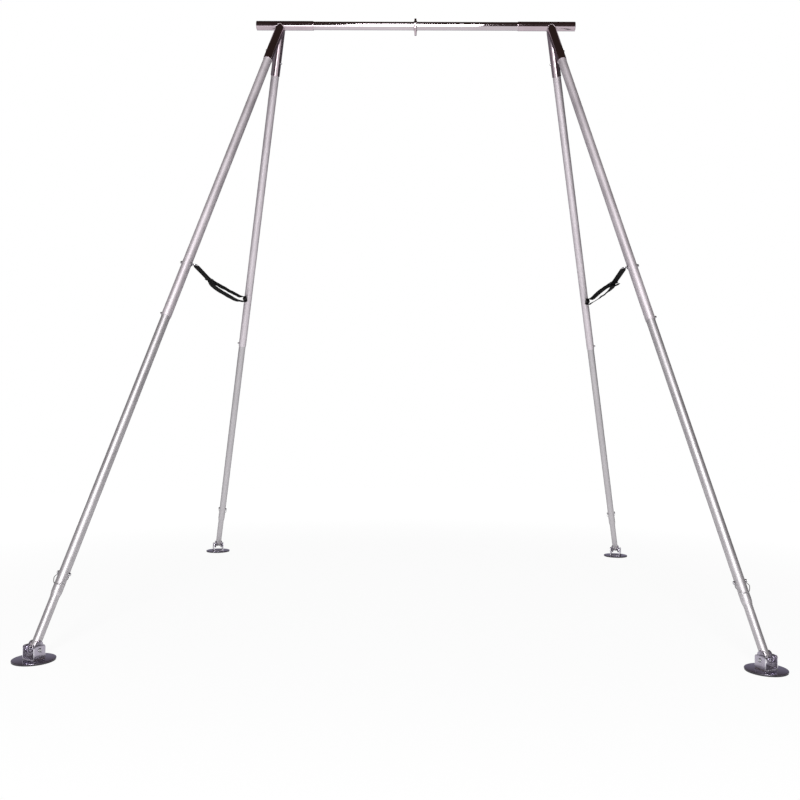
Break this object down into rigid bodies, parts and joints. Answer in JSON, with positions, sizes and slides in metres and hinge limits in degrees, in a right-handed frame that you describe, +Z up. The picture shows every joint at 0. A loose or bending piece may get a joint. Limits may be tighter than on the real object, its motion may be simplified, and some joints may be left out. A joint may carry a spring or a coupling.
{
  "type": "aerial yoga frame",
  "caption": "Freestanding hanging frame: a round crossbar with a central ring on splayed tubular legs, with side straps and round swivel feet.",
  "frame": {"origin": "on the floor, under the middle of the crossbar", "axes": "+X along the crossbar to the right as seen from the front, +Y to the back, +Z up"},
  "size_m": [2.7016, 2.5826, 2.8949],
  "materials": {
    "chrome": "dark mirror chrome",
    "tube": "satin chrome-plated steel tube",
    "plate": "dark plated pressed steel",
    "rubber": "matt black rubber",
    "zinc": "zinc-plated fasteners and wire",
    "black": "black coating, slight sheen",
    "webbing": "black woven polyester webbing"
  },
  "bodies": {
    "stand": {"crossbar": "tube", "hanging_ring": "chrome", "corner_connector_left": "chrome", "end_cap_left": "chrome", "corner_connector_right": "chrome", "end_cap_right": "chrome", "upper_leg_front_left": "tube", "lower_leg_front_left": "tube", "foot_tube_front_left": "tube", "lock_pin_front_left": "zinc", "strap_bolt_front_left": "zinc", "upper_leg_front_right": "tube", "lower_leg_front_right": "tube", "foot_tube_front_right": "tube", "lock_pin_front_right": "zinc", "strap_bolt_front_right": "zinc", "upper_leg_rear_left": "tube", "lower_leg_rear_left": "tube", "foot_tube_rear_left": "tube", "lock_pin_rear_left": "zinc", "strap_bolt_rear_left": "zinc", "upper_leg_rear_right": "tube", "lower_leg_rear_right": "tube", "foot_tube_rear_right": "tube", "lock_pin_rear_right": "zinc", "strap_bolt_rear_right": "zinc", "strap_knob_rear_left": "black", "strap_front_left": "webbing", "strap_rear_left": "webbing", "strap_buckle_left": "black", "strap_knob_rear_right": "black", "strap_front_right": "webbing", "strap_rear_right": "webbing", "strap_buckle_right": "black"},
    "button_crossbar_left": {"crossbar_button_left": "zinc"},
    "button_crossbar_right": {"crossbar_button_right": "zinc"},
    "foot_front_left": {"foot_plate_front_left": "plate", "foot_pad_front_left": "rubber", "pivot_pin_front_left": "zinc"},
    "button_socket_front_left": {"socket_button_front_left": "zinc"},
    "button_leg_front_left": {"leg_button_front_left": "zinc"},
    "bail_front_left": {"lock_bail_front_left": "zinc"},
    "foot_front_right": {"foot_plate_front_right": "plate", "foot_pad_front_right": "rubber", "pivot_pin_front_right": "zinc"},
    "button_socket_front_right": {"socket_button_front_right": "zinc"},
    "button_leg_front_right": {"leg_button_front_right": "zinc"},
    "bail_front_right": {"lock_bail_front_right": "zinc"},
    "foot_rear_left": {"foot_plate_rear_left": "plate", "foot_pad_rear_left": "rubber", "pivot_pin_rear_left": "zinc"},
    "button_socket_rear_left": {"socket_button_rear_left": "zinc"},
    "button_leg_rear_left": {"leg_button_rear_left": "zinc"},
    "bail_rear_left": {"lock_bail_rear_left": "zinc"},
    "foot_rear_right": {"foot_plate_rear_right": "plate", "foot_pad_rear_right": "rubber", "pivot_pin_rear_right": "zinc"},
    "button_socket_rear_right": {"socket_button_rear_right": "zinc"},
    "button_leg_rear_right": {"leg_button_rear_right": "zinc"},
    "bail_rear_right": {"lock_bail_rear_right": "zinc"}
  },
  "joints": [
    {"name": "press_crossbar_left", "type": "slide", "parent": "stand", "child": "button_crossbar_left", "axis": [0, -1, 0], "range_m": [0, 0.007], "stiffness_N_per_m": 1200},
    {"name": "press_crossbar_right", "type": "slide", "parent": "stand", "child": "button_crossbar_right", "axis": [0, -1, 0], "range_m": [0, 0.007], "stiffness_N_per_m": 1200},
    {"name": "foot_pivot_front_left", "type": "hinge", "parent": "stand", "child": "foot_front_left", "pos_m": [-1.278, -1.2185, 0.04], "axis": [0.8992, -0.4376, 0], "range_deg": [-125, 74]},
    {"name": "press_socket_front_left", "type": "slide", "parent": "stand", "child": "button_socket_front_left", "axis": [0.9819, -0.0752, -0.174], "range_m": [0, 0.007], "stiffness_N_per_m": 1200},
    {"name": "press_leg_front_left", "type": "slide", "parent": "stand", "child": "button_leg_front_left", "axis": [0.9819, -0.0752, -0.174], "range_m": [0, 0.01], "stiffness_N_per_m": 1200},
    {"name": "bail_swing_front_left", "type": "hinge", "parent": "stand", "child": "bail_front_left", "pos_m": [-1.2265, -1.11268, 0.28489], "axis": [-0.9819, 0.0752, 0.174], "range_deg": [0, 120]},
    {"name": "foot_pivot_front_right", "type": "hinge", "parent": "stand", "child": "foot_front_right", "pos_m": [1.278, -1.2185, 0.04], "axis": [0.8992, 0.4376, 0], "range_deg": [-125, 74]},
    {"name": "press_socket_front_right", "type": "slide", "parent": "stand", "child": "button_socket_front_right", "axis": [-0.9819, -0.0752, -0.174], "range_m": [0, 0.007], "stiffness_N_per_m": 1200},
    {"name": "press_leg_front_right", "type": "slide", "parent": "stand", "child": "button_leg_front_right", "axis": [-0.9819, -0.0752, -0.174], "range_m": [0, 0.01], "stiffness_N_per_m": 1200},
    {"name": "bail_swing_front_right", "type": "hinge", "parent": "stand", "child": "bail_front_right", "pos_m": [1.2265, -1.11268, 0.28489], "axis": [-0.9819, -0.0752, -0.174], "range_deg": [0, 120]},
    {"name": "foot_pivot_rear_left", "type": "hinge", "parent": "stand", "child": "foot_rear_left", "pos_m": [-1.278, 1.2185, 0.04], "axis": [-0.8992, -0.4376, 0], "range_deg": [-125, 74]},
    {"name": "press_socket_rear_left", "type": "slide", "parent": "stand", "child": "button_socket_rear_left", "axis": [-0.9819, -0.0752, 0.174], "range_m": [0, 0.007], "stiffness_N_per_m": 1200},
    {"name": "press_leg_rear_left", "type": "slide", "parent": "stand", "child": "button_leg_rear_left", "axis": [0.9819, 0.0752, -0.174], "range_m": [0, 0.01], "stiffness_N_per_m": 1200},
    {"name": "bail_swing_rear_left", "type": "hinge", "parent": "stand", "child": "bail_rear_left", "pos_m": [-1.2265, 1.11268, 0.28489], "axis": [0.9819, 0.0752, -0.174], "range_deg": [0, 120]},
    {"name": "foot_pivot_rear_right", "type": "hinge", "parent": "stand", "child": "foot_rear_right", "pos_m": [1.278, 1.2185, 0.04], "axis": [-0.8992, 0.4376, 0], "range_deg": [-125, 74]},
    {"name": "press_socket_rear_right", "type": "slide", "parent": "stand", "child": "button_socket_rear_right", "axis": [0.9819, -0.0752, 0.174], "range_m": [0, 0.007], "stiffness_N_per_m": 1200},
    {"name": "press_leg_rear_right", "type": "slide", "parent": "stand", "child": "button_leg_rear_right", "axis": [-0.9819, 0.0752, -0.174], "range_m": [0, 0.01], "stiffness_N_per_m": 1200},
    {"name": "bail_swing_rear_right", "type": "hinge", "parent": "stand", "child": "bail_rear_right", "pos_m": [1.2265, 1.11268, 0.28489], "axis": [0.9819, -0.0752, 0.174], "range_deg": [0, 120]}
  ]
}
